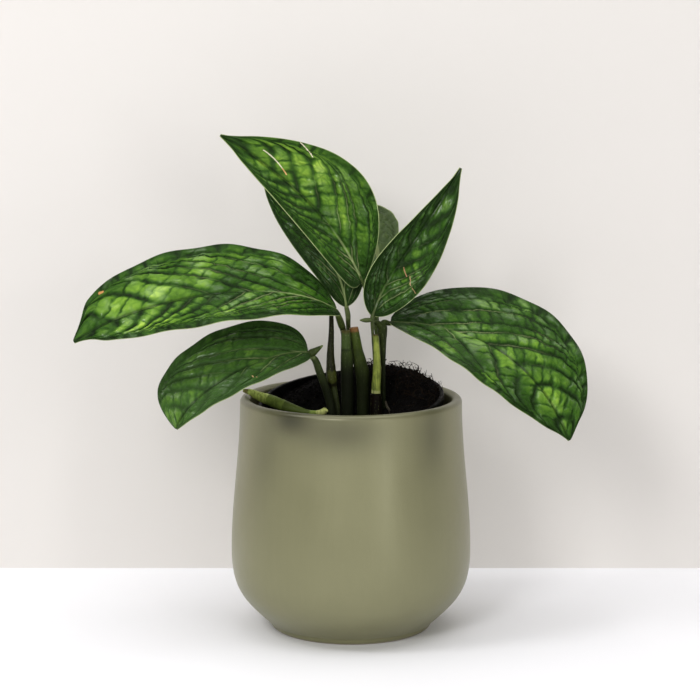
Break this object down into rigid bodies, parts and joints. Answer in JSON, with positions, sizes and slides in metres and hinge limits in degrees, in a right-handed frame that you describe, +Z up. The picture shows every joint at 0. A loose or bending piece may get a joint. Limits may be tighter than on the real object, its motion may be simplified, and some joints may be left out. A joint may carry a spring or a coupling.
{
  "type": "potted monstera karstenianum",
  "caption": "Potted aroid house plant with pointed, mottled glossy leaves on slim stalks, in a black nursery pot of potting mix inside a round-bellied glazed cover pot.",
  "frame": {"origin": "centre of the cover pot's flat underside", "axes": "+Z up along the cover pot's axis, +X to the right, -Y towards the side that the drooping leaves lean to"},
  "size_m": [0.3027, 0.1654, 0.2979],
  "materials": {
    "glaze": "sage to olive green satin glaze",
    "black_plastic": "moulded black plastic, slightly dusty",
    "potting_mix": "dark brown crumbly potting mix with pale fibres",
    "leaf": "glossy dark green leaf with a bright yellow-green mottle and sunken dark veins",
    "stalk": "smooth satin green stalk with dried brown scars",
    "dry_stem": "dried and woody brown stem"
  },
  "bodies": {
    "root": {"cover_pot": "glaze", "nursery_pot": "black_plastic", "potting_mix": "potting_mix", "leaf_top": "leaf", "leaf_behind_top": "leaf", "leaf_far_side": "leaf", "leaf_upright": "leaf", "leaf_long": "leaf", "leaf_low": "leaf", "leaf_large": "leaf", "stalk_top": "stalk", "stalk_behind_top": "stalk", "stalk_far_side": "stalk", "stalk_upright": "stalk", "stalk_long": "stalk", "stalk_low": "stalk", "stalk_large": "stalk", "stem_with_node": "stalk", "cut_stem_left": "stalk", "cut_stem_right": "stalk", "cut_sheath": "stalk", "old_stem_foot": "dry_stem", "thin_root": "dry_stem", "fallen_stalk": "dry_stem"}
  },
  "joints": []
}
